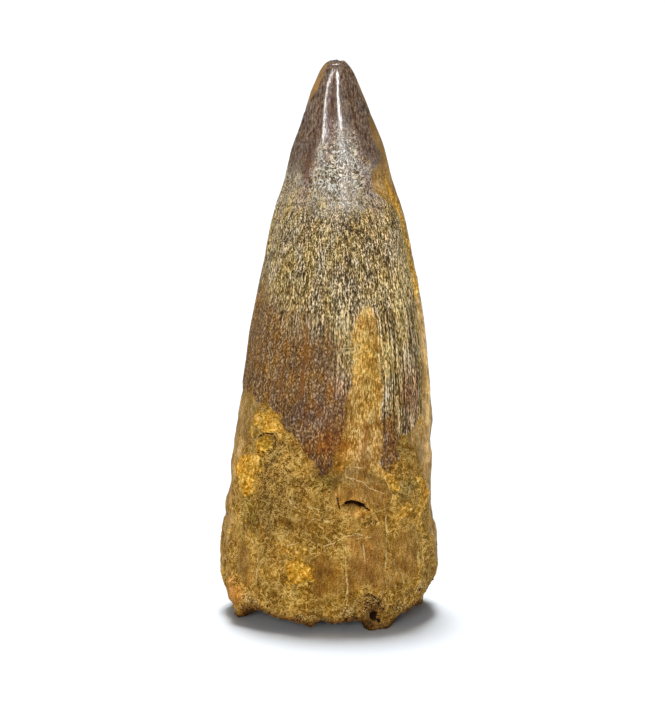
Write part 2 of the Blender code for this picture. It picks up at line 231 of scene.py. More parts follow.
# Where the root crumbles into grains: angle, height, half width across, half height, how much
CRUMBLED = [
    (24, 2.8, 1.7, 1.9, 1), (-48, 3, 1.8, 1.2, 0.8), (62, 3.8, 2.2, 1, 0.8),
    (8, 2.2, 1.6, 1, 0.7), (-14, 1.6, 1.8, 0.8, 0.7), (42, 2.2, 1.8, 0.9, 0.8),
    (-62, 7.6, 0.7, 1.2, 0.6), (110, 3.4, 3, 1.6, 0.8), (170, 2, 3, 1.4, 0.8),
    (-130, 2.4, 3, 1.4, 0.8),
]
RIM_CRUMBLE = 0.8
# Painted shade, with dark dirt, along the broken rim: darkest right at its edge
RIM_SHADE_AND_GRIME = (0.34, 0.44, 0.58)  # share of red, green and blue that is lost right at the rim

# Where each look of the enamel starts and ends, in mm of height or in degrees
TIP_FROM = (49, 56)
WORM_FROM = (43.5, 47.5)
BROWN_TOP = (38, 28.5)
BROWN_RIGHT = (13, -9)
BROWN_BACK = (-168, -128)
BROWN_TONGUE = (27, 23)  # below this it reaches further to the right
FLANKS = (12, 50)
STRIP_ANGLES = (3, 30)
STRIP_HEIGHTS = (17.5, 37)

# The enamel's pattern: long and straight on the lower crown, short and crooked on the upper one
PATTERN_STRETCH = (3.8, 1.7)
PATTERN_CHANGE = (32, 43)
PATTERN_LEVELS = 400
EVEN_BELOW = 34.0
GRAIN_SIZE = 0.115
RIDGE_SIZE = 0.19
WORM_SIZE = 0.37

FAR_AWAY = 9.0  # mm, further from a line than any look or step reaches

# The map that the finished colours can be painted on: mm across it, and where the underside lies
MAP_SPAN = 67.0
MAP_EDGE = 0.02
UNDER_PLACE = (0.12, 0.86)
UNDER_SCALE = 0.55

# Colours as they look on a screen, 0 to 255, in ramps that follow a grain from its dark places
# to its light ones
SANDY_ENAMEL = [(0.36, (48, 32, 16)), (0.45, (96, 75, 42)), (0.54, (156, 132, 92)),
                (0.65, (254, 234, 196))]
GOLDEN_ENAMEL = [(0.36, (58, 38, 6)), (0.45, (110, 84, 26)), (0.54, (178, 144, 72)),
                 (0.65, (255, 228, 150))]
BROWN_ENAMEL = [(0.34, (58, 32, 10)), (0.45, (106, 74, 40)), (0.55, (140, 108, 72)),
                (0.66, (216, 190, 150))]
RUSSET_ENAMEL = [(0.34, (66, 36, 0)), (0.45, (116, 74, 22)), (0.55, (154, 108, 50)),
                 (0.66, (218, 180, 116))]
TIP_ENAMEL = [(0.32, (58, 34, 24)), (0.46, (100, 78, 61)), (0.56, (126, 104, 86)),
              (0.72, (168, 150, 132))]
WORM_ENAMEL = [(0.36, (48, 28, 10)), (0.46, (82, 60, 35)), (0.56, (120, 98, 66)),
               (0.7, (184, 162, 122))]
# Painted highlight: pale lines along the wrinkles of the enamel below the tip, standing for glints
# of light
PAINTED_GLINT = (248, 240, 222)
STRIP = [(0.34, (120, 82, 20)), (0.46, (167, 124, 52)), (0.55, (204, 164, 90)),
         (0.68, (246, 218, 146))]
ROOT = [(0.34, (92, 58, 2)), (0.45, (134, 94, 20)), (0.55, (168, 127, 48)),
        (0.66, (206, 168, 92))]
PALE_ROOT = [(0.36, (80, 50, 2)), (0.46, (124, 86, 22)), (0.54, (162, 124, 52)),
             (0.64, (216, 180, 110))]
TAN = [(0.36, (118, 86, 34)), (0.46, (160, 125, 64)), (0.55, (190, 156, 96)),
       (0.66, (230, 202, 148))]
PLATE_LOOK = [(0.34, (104, 66, 10)), (0.45, (144, 99, 32)), (0.55, (170, 125, 54)),
              (0.66, (208, 168, 98))]
YELLOW_SAND = [(0.34, (134, 84, 4)), (0.44, (186, 132, 30)), (0.54, (222, 170, 62)),
               (0.66, (252, 216, 128))]
# Colours of crumbled grains; the darkest are painted shade in the small pits between them
CRUMBS_WITH_PIT_SHADE = [(0.36, (34, 14, 0)), (0.44, (98, 62, 16)), (0.53, (172, 130, 58)),
          (0.62, (240, 208, 138))]
VEIN = (226, 188, 108)
# Painted shade along the borders of the yellow crusts
CRUST_BORDER_SHADE = (104, 70, 16)
CHIP_BROWN = (142, 108, 68)
HAIRLINE = (238, 208, 136)
# Painted shade in the holes, cracks and the slit
HOLE_SHADE = (40, 18, 4)
RUST = (142, 84, 24)
FLOOR_COLOURS = ((238, 244, 250), (242, 248, 254))

# Casts on the colour, from the one to the other: 255 leaves it as it is
CLOUDS = ((238, 232, 222), (274, 272, 266))
WARMTH = ((248, 251, 256), (262, 255, 240))

# How the surfaces shine
COAT_ROUGHNESS = 0.12
SPECULAR = 0.12

# The room, its lamps and the camera, in metres and degrees
FLOOR_HALF = 2.0
FLOOR_STEPS = 40
FLOOR_FLAT = 0.8  # share of the way out up to which it is flat
FLOOR_RISE = 0.3
ROOM_LIGHT = 0.09
ROOM_TINT = (0.95, 0.98, 1.04)
ROOM_SEEN = 1.1
SUNS = [  # name, azimuth, elevation, strength, spread, whether it shows in the gloss
    ("lamp_above", 188, 75.5, 3.4, 20, True), ("lamp_front", -12, 13, 1.29, 30, False),
]
SOFTBOXES = [  # name, azimuth, elevation, width, height, power
    ("strip_left", -42, 46, 0.06, 0.5, 2.94), ("strip_right", 14, 46, 0.13, 0.5, 6.3),
]
SOFTBOX_DISTANCE = 0.7
SOFTBOX_TARGET = (0, 0, 0.05)
SENSOR = 36.0
CAMERA_DISTANCE = 1.0
CAMERA_RISE = 14.0
CAMERA_REACH = 10.0
VIEW_HEIGHT = 0.07606
VIEW_RIGHT = 0.00038
VIEW_UP = 0.028

# Where the root's surface is smooth and tan, between the enamel and the crust
TAN_RIGHT = [
    (50, 21.6), (62, 22.2), (70, 24.5), (72, 29), (70, 34), (112, 34), (108, 24), (104, 17),
    (98, 11), (88, 6), (80, 8), (72, 12), (66, 16), (56, 18.6),
]
TAN_LEFT = [
    (-62, 25.4), (-58, 23), (-63, 20), (-72, 17.5), (-78, 13), (-84, 8), (-96, 12), (-104, 18),
    (-110, 22), (-112, 26),
]

# Other places on the root's surface
PLATE_LOW = [(9, 10), (30, 11.8), (30.5, 4.9), (20, 5.6), (9, 4.6)]
PLATE_MIDDLE = [(-10, 8.4), (6.6, 9), (7.4, 4.4), (-9, 3.6)]
PLATE_RIGHT = [(33, 10.6), (52, 10.4), (56, 5.6), (34, 4.8)]
PLATE_LEFT = [(-60, 9.4), (-46, 8.8), (-44, 4.6), (-58, 5.4)]
LEDGE = [(6.5, 13.9), (12, 14.1), (22, 13.1), (20, 12.4), (9, 12.6)]
MOTTLED = [
    (-50, 19), (-36, 21), (-30, 21.5), (-19, 19.4), (-16, 16.5), (-20, 13), (-32, 11.5),
    (-44, 12.5), (-46, 15.5),
]
YELLOW_PATCHES = [  # outline, how yellow
    (SAND_HIGH, 1), (SAND_LEFT, 1), (SAND_LOW, 0.9), (CRUST_BACK, 0.55), (LEDGE, 0.3),
    ([(31, 17.2), (34, 17), (40, 15.4), (36, 14), (31, 15.2)], 0.75),
    ([(54, 16.5), (62, 17), (67, 14), (64, 11.6), (57, 11), (52, 12.5)], 0.8),
    ([(38, 14), (47, 13.8), (50, 12), (42, 12.2)], 0.6),
    ([(-2, 19.5), (6, 20.5), (9, 18.4), (2, 17.2)], 0.6),
    ([(-34, 10.2), (-12, 10.4), (-8, 8.6), (-26, 7.9)], 0.55),
    ([(-58, 11.4), (-46, 11.6), (-40, 10), (-56, 9.6)], 0.5),
    ([(-16, 14.8), (-6, 15.6), (-2, 14.4), (-12, 13.4)], 0.4),
    ([(66, 44), (80, 44.6), (86, 36), (76, 34), (69, 36)], 0.65),
    ([(62, 47.2), (70, 48.2), (80, 43.5), (68, 43.5)], 0.9),
]
RUST_LINES = [  # points, half width, how strong
    ([(-22.5, 33.5), (-21.5, 29.5), (-22, 25.6)], 0.28, 0.8),
    ([(-38, 28.5), (-36.5, 25.5)], 0.4, 0.4),
    ([(18.5, 22.4), (17, 19.8), (16, 17.8)], 0.32, 0.85),
    ([(-7, 24), (-3, 22.2), (1, 20.6)], 0.9, 0.25),
    ([(30.5, 22.6), (33, 21.8)], 0.5, 0.3),
]

# Fine light lines: sand in hair cracks, and scratches
HAIRLINES = [
    [(7.6, 9.6), (7.9, 7.2), (8.6, 5.6), (8.4, 3.4)],
    [(31.2, 12.5), (31.9, 11.2), (31, 9), (31.4, 7.9), (30.4, 6.4), (30.8, 5.2)],
    [(17.6, 9.6), (17.8, 8)], [(56, 10.4), (56.2, 6.6)], [(61, 9.6), (61.5, 6)],
    [(8.4, 17.2), (13, 16.9), (16.5, 16.6), (20.8, 15.9)], [(22.6, 15.8), (28.5, 15.2)],
    [(8.5, 18.2), (15, 18.1)], [(31, 16.6), (33.5, 14.9)],
    [(8, 10.8), (13, 11), (19, 10.7)], [(12, 10.4), (21, 10.5)],
    [(-54, 10.9), (-51, 10), (-46, 9.7)], [(-42, 8), (-42.4, 5.2)],
    [(-30, 10.5), (-24, 9.5), (-18, 9.9)], [(-12, 13.9), (-7, 13.7)],
    [(-8, 12.6), (-2, 12.5)], [(-23, 14.4), (-17, 13.4)], [(-2, 9.8), (4, 10.4)],
    [(2.6, 32.1), (9, 31.4), (15.2, 30.9)], [(2, 30.8), (14, 30.8)],
    [(5.6, 30.3), (8.6, 30.3)], [(10, 33.3), (13.4, 33.3)], [(20.4, 32.2), (25, 32.6)],
    [(18.8, 30.4), (22.4, 30.4)], [(30, 30.6), (35, 30.6)], [(-64.5, 5.1), (-66.5, 4.2)],
]

# Sand on the enamel: angle, height, half width across, half height; more sand, or less below 0
SAND_ON_ENAMEL = [
    (5, 31, 0.9, 4, 0.7), (33, 29.4, 1.1, 3.2, 0.8), (22, 36, 1.6, 0.9, 0.5),
    (67, 31.6, 0.5, 2.2, 1), (74, 40.5, 1.1, 5, 1.2), (60, 37, 2.4, 3, 0.5),
    (-72, 35, 1, 3.4, 0.6), (-8, 35.6, 0.7, 1.4, 0.6), (30, 39, 1, 3, 0.4),
    (17, 44, 0.8, 1.6, -1.2), (38, 33.2, 0.7, 1.6, -1.4), (12, 36.6, 0.5, 1, -1.2),
    (8, 38.4, 1, 1.4, -0.5), (27, 41, 0.8, 1.4, -0.5), (52, 25.5, 2.4, 3.2, -0.5),
    (45, 33, 2, 4, 0.8), (34, 22, 0.9, 3, -1.2), (44, 21.8, 1.4, 1, -0.9),
    (-3, 31, 1.6, 2, -0.5), (58, 43, 1.2, 2, -0.6), (-60, 42, 1.6, 3, -0.3),
    (140, 36, 3, 6, 0.6), (-140, 33, 3, 6, 0.5), (178, 45, 2, 4, -0.6),
]

# Where the enamel to the right of the worn strip is as brown as on the left
BROWN_FRAGMENT = [(34, 20, 1.5, 4, 0.95), (48, 25, 2.6, 3, 0.45)]

# Broad stains, and two spots of painted highlight marked below: angle, height, half width across,
# # half height, share of red, green and blue left
STAINS_AND_PAINTED_LIGHT = [
    (-3, 20.5, 2.3, 2.2, (0.98, 0.86, 0.68)), (-6, 17.8, 0.9, 0.9, (0.6, 0.56, 0.6)),
    (2.5, 26.6, 1.3, 1.4, (0.96, 0.88, 0.9)), (-30, 24, 2.5, 1.2, (0.84, 0.84, 0.92)),
    (-12, 24, 2, 2, (0.9, 0.88, 0.98)), (33, 20.6, 1, 2.4, (0.88, 0.8, 0.7)),
    (50, 26, 2, 3, (1.08, 1.04, 1.02)), (-1, 16.6, 1.5, 0.7, (0.8, 0.86, 0.8)),
    (-33, 15, 2.2, 2.8, (0.88, 0.87, 0.82)), (47, 15.4, 1.5, 0.8, (0.92, 0.98, 1.1)),
    (-43, 20.2, 0.9, 0.7, (0.94, 0.96, 0.84)), (21, 29.5, 1.3, 3, (1.08, 1.04, 0.84)),
    (18, 20.5, 2.2, 2.6, (0.98, 0.97, 1.06)), (-50, 12.4, 1.5, 1.6, (0.9, 0.93, 0.86)),
    (-20, 11.8, 4, 1.6, (0.88, 0.87, 0.86)), (-61, 3.6, 1.2, 1.2, (1.22, 1.12, 1.14)),
    (-64, 4.8, 0.5, 0.5, (1.35, 1.38, 1.6)), (-4, 6, 2.4, 2, (0.96, 0.94, 0.78)),
    (18, 8, 2, 2.4, (0.98, 0.95, 0.98)), (90, 46, 1.8, 1.4, (0.82, 0.74, 0.66)),
    (50, 48.6, 1.2, 3, (1.05, 1.04, 1.1)), (30, 50.5, 1, 3, (0.99, 0.95, 0.97)),
    (-40, 49, 1.2, 3.4, (0.92, 0.82, 0.8)), (-15, 53, 1, 2.4, (0.84, 0.7, 0.7)),
    (66, 51.6, 0.7, 1.8, (1.2, 1.24, 1)), (150, 14, 4, 3, (0.9, 0.92, 0.84)),
    (24, 2.4, 1.2, 1.2, (0.72, 0.64, 0.54)),
    (-140, 10, 4, 4, (1.05, 0.96, 0.84)), (82, 28, 1.6, 9, (1.42, 1.46, 1.62)),
    (74, 17, 2.2, 6.5, (1.18, 1.17, 1.24)), (-76, 14, 1.5, 8, (1.12, 1.11, 1.16)),
    (-10, 56, 0.7, 3, (0.8, 0.66, 0.6)), (32, 56, 0.6, 3, (0.82, 0.7, 0.6)),
    # The first spot on the next line is a painted highlight: it brightens the painted glint lines
    # below the tip
    (6, 48, 1.8, 3.6, (1.06, 1.06, 1.1)), (36, 47.5, 1.2, 4, (0.86, 0.82, 0.84)),
    (44, 8, 2.4, 2.6, (1.05, 1.07, 1.16)), (-58, 17, 1.6, 1.6, (1.05, 1.05, 1.03)),
    # The first spot on the next line is a painted highlight: the top of the ledge under the slit
    # made brighter, as if lit from above
    (13, 13.2, 1.6, 0.4, (1.2, 1.18, 1.28)), (18, 33.5, 1.4, 1.6, (1.06, 1.06, 1.1)),
    (52, 25, 1.5, 3.4, (0.97, 0.92, 0.92)), (44, 40, 3, 8, (1.15, 1.15, 1.17)),
]


def smoothstep(low, high, value):
    """Rise from 0 at low to 1 at high, without a corner."""
    t = np.clip((value - low) / (high - low), 0.0, 1.0)
    return t * t * (3.0 - 2.0 * t)


def smooth_curve(points, value):
    """Read a smooth curve that passes through the points."""
    xs, ys = np.array(points, dtype=float).T
    slopes = np.gradient(ys, xs)
    i = np.clip(np.searchsorted(xs, value) - 1, 0, len(xs) - 2)
    step = xs[i + 1] - xs[i]
    t = np.clip((value - xs[i]) / step, 0.0, 1.0)
    between = ys[i] * (1.0 + 2.0 * t) * (1.0 - t) ** 2 + ys[i + 1] * t * t * (3.0 - 2.0 * t)
    return between + step * t * (1.0 - t) * (slopes[i] * (1.0 - t) - slopes[i + 1] * t)


def broken_line(points, value):
    """Read a line with straight stretches between the points."""
    xs, ys = np.array(points, dtype=float).T
    return np.interp(value, xs, ys)


def angle_gap(angle, other):
    """How far one angle is from another, between -180 and 180."""
    return (angle - other + 180.0) % 360.0 - 180.0


def unrolled(angle, height, about):
    """Lay the surface flat around an angle: mm across, mm up."""
    return np.radians(angle_gap(angle, about)) * UNROLL, height


def half_width(height):
    """Half the tooth's width at a height."""
    squares = [(share, width * width) for share, width in PROFILE]
    return HALF_WIDTH * np.sqrt(np.maximum(smooth_curve(squares, height / LENGTH), 0.0))


def centre(height):
    """Where the middle of the tooth is at a height: it bends back and a little to the right."""
    share = height / LENGTH
    right = SHIFT_RIGHT * smoothstep(*SHIFT_BETWEEN, share)
    right = right - TIP_LEFT * smoothstep(*TIP_BEND, share)
    return right, LEAN_BACK * share ** LEAN_POWER


def directions(angle, height):
    """Across and front-to-back parts of an angle on the rounded-off outline at a height."""
    squareness = ROOT_SQUARENESS + (CROWN_SQUARENESS - ROOT_SQUARENESS) * height / LENGTH
    turn = np.radians(angle)
    across = np.sign(np.sin(turn)) * np.abs(np.sin(turn)) ** (2.0 / squareness)
    front = np.sign(np.cos(turn)) * np.abs(np.cos(turn)) ** (2.0 / squareness)
    return across, front


def bumps(x, y, z, size):
    """Smooth random swellings of about the given size, between -1 and 1."""
    points = np.stack(np.broadcast_arrays(x, y, z), axis=-1).reshape(-1, 3) / size
    values = [noise.noise(Vector(point)) for point in points]
    return np.array(values).reshape(np.shape(x))


def segment_distance(px, py, ax, ay, bx, by):
    """Distance from points to a straight stretch."""
    length_squared = (bx - ax) ** 2 + (by - ay) ** 2
    t = np.clip(((px - ax) * (bx - ax) + (py - ay) * (by - ay)) / length_squared, 0.0, 1.0)
    return np.hypot(px - ax - t * (bx - ax), py - ay - t * (by - ay))


def depth_inside(angle, height, outline):
    """How far inside an outline on the surface each point is, in mm; less than 0 outside."""
    about = outline[0][0]
    px, py = unrolled(angle, height, about)
    corners = [unrolled(a, h, about) for a, h in outline]
    odd = np.zeros(np.shape(px), dtype=bool)
    nearest = np.full(np.shape(px), np.inf)
    for (ax, ay), (bx, by) in zip(corners, corners[1:] + corners[:1]):
        nearest = np.minimum(nearest, segment_distance(px, py, ax, ay, bx, by))
        if ay != by:
            crosses = ((ay > py) != (by > py)) & (px < ax + (py - ay) / (by - ay) * (bx - ax))
            odd ^= crosses
    return np.where(odd, nearest, -nearest)


def highest(values):
    """The highest of several masks at each point."""
    return np.maximum.reduce(list(values))


class Surface:
    """The side of the tooth at a grid of angles and heights: its form, and masks for its looks."""

    def __init__(self, angle, height):
        self.angle, self.height = np.broadcast_arrays(angle, height)
        self.across, self.front = directions(self.angle, self.height)
        self.radius = half_width(self.height)
        middle_x, middle_y = centre(self.height)
        self.plain_x = middle_x + self.radius * self.across
        self.plain_y = middle_y - self.radius * DEPTH_SHARE * self.front
        self.wobble = self.bumps(1.6, 11.0)
        self.fine = self.bumps(0.55, 23.0)
        self.enamel_depth = self.measure_enamel()
        self.masks = self.make_masks()
        self.stain_and_painted_light = self.make_stain_and_painted_light()
        relief = self.crown_relief() + self.root_relief() + self.marks_relief()
        relief = (relief + self.fine_relief()) * smoothstep(0.0, 2.5, self.radius)
        self.x = self.plain_x + relief * self.across
        self.y = self.plain_y - relief * self.front

    def bumps(self, size, offset, stretch=1.0):
        """Random swellings on the surface: others for each offset, and stretched up if asked."""
        return bumps(self.plain_x + offset, self.plain_y, self.height / stretch, size)

    def patch(self, outline, soft, ragged):
        """1 inside an outline, 0 outside, with a ragged border."""
        depth = depth_inside(self.angle, self.height, outline)
        return smoothstep(-soft, soft, depth + ragged * self.wobble + 0.5 * ragged * self.fine)

    def spot(self, angle, height, across, up):
        """1 in the middle of a round place, falling to 0."""
        px, py = unrolled(self.angle, self.height - height, angle)
        return np.exp(-((px / across) ** 2) - (py / up) ** 2)

    def strongest(self, places):
        """The strongest of several round places: each is an angle, height, two sizes, amount."""
        return highest(amount * self.spot(*place) for *place, amount in places)

    def near_line(self, points, width):
        """1 on a line, falling to 0 beside it."""
        return np.exp(-((self.measure_lines([points])[0] / width) ** 2))

    def measure_lines(self, lines):
        """Distance to the nearest of several lines, and the same with a sign for its side."""
        away = side = np.full(self.angle.shape, FAR_AWAY)
        for points in lines:
            for (a, low), (b, high) in zip(points, points[1:]):
                px, py = unrolled(self.angle, self.height, a)
                bx, by = unrolled(b, high, a)
                gap = segment_distance(px, py, 0.0, low, bx, by)
                signed = (bx * (py - low) - (by - low) * px) / np.hypot(bx, by - low)
                side = np.where(gap < away, signed, side)
                away = np.minimum(away, gap)
        return away, side

    def band(self, low, high, value):
        """1 between two values, with a border of a millimetre or a few degrees."""
        border = 0.12 * (high - low)
        return smoothstep(low - border, low + border, value) * smoothstep(
            high + border, high - border, value)

    def measure_enamel(self):
        """How far inside the enamel each point is, in mm; less than 0 on bare root."""
        ragged = 0.45 * self.wobble + 0.30 * self.fine
        above = self.height > broken_line(ENAMEL_EDGE, self.angle)
        depth = self.measure_lines([ENAMEL_EDGE])[0]
        depth = np.where(above, depth, -depth) + ragged
        per_degree = np.radians(1.0) * np.maximum(self.radius, 1.0)
        right = np.minimum(self.angle - broken_line(WORN_RIGHT, self.height),
                           WORN_RIGHT_END - self.angle)
        left = np.minimum(broken_line(WORN_LEFT, self.height) - self.angle,
                          self.angle - WORN_LEFT_END)
        for strip in (right, left):
            depth = np.minimum(depth, -strip * per_degree + 0.5 * ragged)
        return np.clip(depth, -3.0, 3.0)

    def crown_relief(self):
        """How far the enamel and the cutting edges stand out."""
        covered = smoothstep(-0.12, 0.12, self.enamel_depth)
        flutes = np.cos(np.radians(self.angle) * FLUTES) * smoothstep(*FLUTES_FROM, self.height)
        flutes = FLUTE_DEPTH * flutes * smoothstep(LENGTH, FLUTES_FADE, self.height)
        kept = STEP_KEPT * smoothstep(*STEP_KEPT_FROM, self.height)
        relief = ENAMEL_STEP * np.maximum(covered, kept)
        relief = relief + covered * flutes
        for carina in CARINA_ANGLES:
            across = np.radians(angle_gap(self.angle, carina)) * self.radius
            edge = np.exp(-((across / CARINA_WIDTH) ** 2)) * smoothstep(*CARINA_FROM, self.height)
            relief = relief + CARINA_HEIGHT * edge * smoothstep(LENGTH, CARINA_FADE, self.height)
        return relief

    def root_relief(self):
        """Swellings of the root, its flare above the floor and its worn, tucked-in edge."""
        root = 1.0 - 0.8 * smoothstep(18.0, 34.0, self.height)
        relief = root * SWELL_HEIGHT * bumps(
            self.plain_x, self.plain_y, self.height * 0.7, SWELL_SIZE)
        relief = relief + root * root * LUMP_HEIGHT * self.bumps(LUMP_SIZE, 40.0)
        sideways = smoothstep(0.6, 0.95, np.abs(np.sin(np.radians(self.angle))))
        flare = smoothstep(*FLARE_TOP, self.height + 1.5 * self.wobble)
        relief = relief + FLARE * sideways * flare
        low = np.clip(1.0 - self.height / TUCK_TOP, 0.0, 1.0)
        return relief - broken_line(TUCK, self.angle) * low ** 1.5

    def marks_relief(self):
        """Raised flakes and crusts, pits, and cracks."""
        relief = np.zeros(np.shape(self.angle))
        for outline, rise, soft in RAISED:
            relief = relief + rise * self.patch(outline, soft, 0.35)
        for at, level, across, up, depth in PITS:
            relief = relief - depth * self.spot(at, level, across, up) * (1.0 + 0.8 * self.fine)
        for at, level, radius in DARK_HOLES:
            relief = relief - 1.4 * radius * self.spot(at, level, radius, radius)
        for points, width, depth, _ in CRACKS:
            relief = relief - depth * self.near_line(points, width) * (1.0 + 0.6 * self.fine)
        return relief

    def fine_relief(self):
        """The grain of the crust, its crumbs, the root's upright grain, the enamel's wrinkles."""
        masks = self.masks
        bare = 1.0 - smoothstep(-0.1, 0.15, self.enamel_depth)
        calm = np.clip(1.0 - 0.75 * masks["plate"] - 0.7 * masks["tan"], 0.15, 1.0)
        grain = 0.13 * self.bumps(1.1, 5.0) + 0.08 * self.fine + 0.06 * self.bumps(0.3, 31.0)
        lumps = np.abs(self.bumps(0.8, 57.0)) + 0.5 * np.abs(self.bumps(0.4, 63.0))
        crust = masks["sand"] * (0.30 * lumps + 0.16 * self.bumps(1.8, 91.0))
        crumbs = masks["crumb"] * (0.55 * lumps - 0.25)
        upright = 0.05 * self.bumps(0.45, 71.0, 6.0) * smoothstep(14.0, 8.0, self.height)
        wrinkles = 0.05 * self.bumps(0.5, 83.0, 4.5) * smoothstep(54.0, 47.0, self.height)
        return bare * (calm * grain + crust + crumbs + upright) + (1.0 - bare) * wrinkles

    def make_masks(self):
        """How much of each look there is at each point, and the distances that it goes by."""
        angle, height, wobble = self.angle, self.height, self.wobble
        bare = 1.0 - smoothstep(-0.1, 0.1, self.enamel_depth)
        flakes = (FLAKE_BACK, PLATE_LOW, PLATE_MIDDLE, PLATE_RIGHT, PLATE_LEFT, LUMP_CORNER, LEDGE)
        sand = highest(amount * self.patch(outline, 0.5, 1.0) for outline, amount in YELLOW_PATCHES)
        plate = highest([self.patch(PLATE, 0.15, 0.3)]
                        + [0.8 * self.patch(outline, 0.6, 1.0) for outline in flakes])
        tan = np.maximum(self.patch(TAN_RIGHT, 0.8, 1.8), 0.8 * self.patch(TAN_LEFT, 1.5, 3.0))
        tan = np.maximum(tan * bare, bare * smoothstep(24.0, 30.0, height))
        holes = [self.spot(at, level, radius, radius) for at, level, radius in DARK_HOLES]
        cracks = [crack_shade * self.near_line(points, width)
                  for points, width, _, crack_shade in CRACKS]
        rust = highest(amount * self.near_line(points, width)
                       for points, width, amount in RUST_LINES)
        rim = smoothstep(1.5, 0.1, height - broken_line(RIM, angle) + 0.6 * wobble)
        tongue = 10.0 * smoothstep(*BROWN_TONGUE, height)
        left = smoothstep(*BROWN_RIGHT, angle + 6.0 * wobble - tongue)
        left = left * smoothstep(*BROWN_BACK, angle + 14.0 * wobble)
        low = smoothstep(*BROWN_TOP, height + 1.6 * wobble + 0.06 * (angle + 30.0))
        flank = smoothstep(*FLANKS, np.abs(angle - 2.0))
        wash = sum(amount * self.spot(*place) for *place, amount in SAND_ON_ENAMEL)
        away, side = self.measure_lines(HAIRLINES)
        return {
            "enamel": self.enamel_depth,
            "rubbed": self.strongest(RUBBED),
            "sand": sand, "plate": plate * (1.0 - sand), "tan": tan,
            "strip": self.band(*STRIP_ANGLES, angle) * self.band(*STRIP_HEIGHTS, height),
            "mottle": self.patch(MOTTLED, 1.0, 2.0),
            "crumb": np.maximum(self.strongest(CRUMBLED), RIM_CRUMBLE * rim),
            "hole_and_crack_shade": highest(holes + cracks),
            "rust": rust, "away": away, "side": side, "wash": wash,
            "brown": np.maximum(left * low, self.strongest(BROWN_FRAGMENT)),
            "worm": smoothstep(*WORM_FROM, height + 0.8 * wobble) * (1.0 - 0.6 * flank),
            "tip": smoothstep(*TIP_FROM, height + 4.0 * flank + 1.2 * wobble),
        }

    def make_stain_and_painted_light(self):
        """What broad stains, painted shade with dark dirt along the broken rim, and a few painted
            highlights leave of the colour's red, green and blue at each point.
        """
        above = self.height - broken_line(RIM, self.angle) + 0.25 * self.wobble
        shade_and_grime = 1.0 - np.array(RIM_SHADE_AND_GRIME) * smoothstep(1.1, 0.0, above)[..., None]
        left = np.ones((*self.angle.shape, 3)) * shade_and_grime
        for at, level, across, up, share in STAINS_AND_PAINTED_LIGHT:
            spot = self.spot(at, level, across, up) * (1.0 + 0.5 * self.wobble)
            left = left * (1.0 + spot[..., None] * (np.array(share) - 1.0))
        return left ** SCREEN_GAMMA


def ring_angles():
    """Angles of a ring's points, from the back round to the back, closer together in front."""
    even = -180.0 + 360.0 * np.arange(COLUMNS) / COLUMNS
    return even - np.degrees(FRONT_CROWDING) * np.sin(np.radians(even))


def side_heights():
    """Heights of the rings below the tip, and of those of the tip."""
    heights = [0.0]
    for low, high, steps in ROW_BANDS:
        heights += [low + (high - low) * (i + 1) / steps for i in range(steps)]
    start = ROW_BANDS[-1][1]
    steps = np.arange(1, TIP_ROWS) / TIP_ROWS
    return np.array(heights), LENGTH - (LENGTH - start) * (1.0 - steps) ** TIP_CROWDING


def side(angles, rows):
    """The side at these angles and rows. Near the bottom it follows the broken edge."""
    angle, row = np.meshgrid(angles, rows)
    rise = broken_line(RIM, angle)
    x, y = UNROLL * np.sin(np.radians(angle)), UNROLL * np.cos(np.radians(angle))
    chips = np.maximum(bumps(x, y, 90.0, 0.8) + 0.6 * bumps(x, y, 120.0, 0.35), 0.0)
    share = np.clip(1.0 - row / RIM_FADE, 0.0, 1.0) ** 3
    share_chips = np.clip(1.0 - row / RIM_CHIPS_TOP, 0.0, 1.0) ** 2
    return Surface(angle, row + rise * share + RIM_CHIPS * chips * share_chips)


def base_rings(rim):
    """Rings of the broken underside: rough, hollow in the middle, worn flat at the feet."""
    rings = []
    for i in range(1, BASE_RINGS):
        share = 1.0 - (i / BASE_RINGS) ** 1.25
        x, y = rim[:, 0] * share, rim[:, 1] * share
        rough = UNDERSIDE_ROUGHNESS * bumps(x, y, 70.0, 4.0) + 0.35 * bumps(x, y, 95.0, 1.3)
        rough = rough + 0.12 * bumps(x, y, 110.0, 0.5)
        hollow = HOLLOW_DEPTH * np.exp(-(x * x + y * y) / HOLLOW_RADIUS ** 2)
        inner = UNDERSIDE_LEVEL + rough + hollow
        z = inner + (rim[:, 2] - inner) * smoothstep(0.55, 1.0, share)
        for at_x, at_y, radius in FEET:
            gap = np.hypot(x - at_x, y - at_y)
            z = z - FOOT_DEPTH * smoothstep(radius + FOOT_BORDER, radius, gap)
        rings.append(np.stack([x, y, np.maximum(z, 0.0)], axis=1))
    return rings


def join_rings(lower, upper):
    """Faces between two rings of as many points."""
    after_lower, after_upper = np.roll(lower, -1), np.roll(upper, -1)
    return np.stack([lower, after_lower, after_upper, upper], axis=1).tolist()


def join_to_half(full, half, upward):
    """Faces from a ring to one with half as many points."""
    first, second, third = full[::2], full[1::2], np.roll(full[::2], -1)
    near, far = half, np.roll(half, -1)
    faces = []
    for corners in ((first, second, near), (second, far, near), (second, third, far)):
        corners = corners if upward else corners[::-1]
        faces += np.stack(corners, axis=1).tolist()
    return faces


def close_ring(ring, apex, upward):
    """Faces from a ring to one point."""
    ends = np.full(len(ring), apex)
    corners = (ring, np.roll(ring, -1), ends)
    return np.stack(corners if upward else corners[::-1], axis=1).tolist()


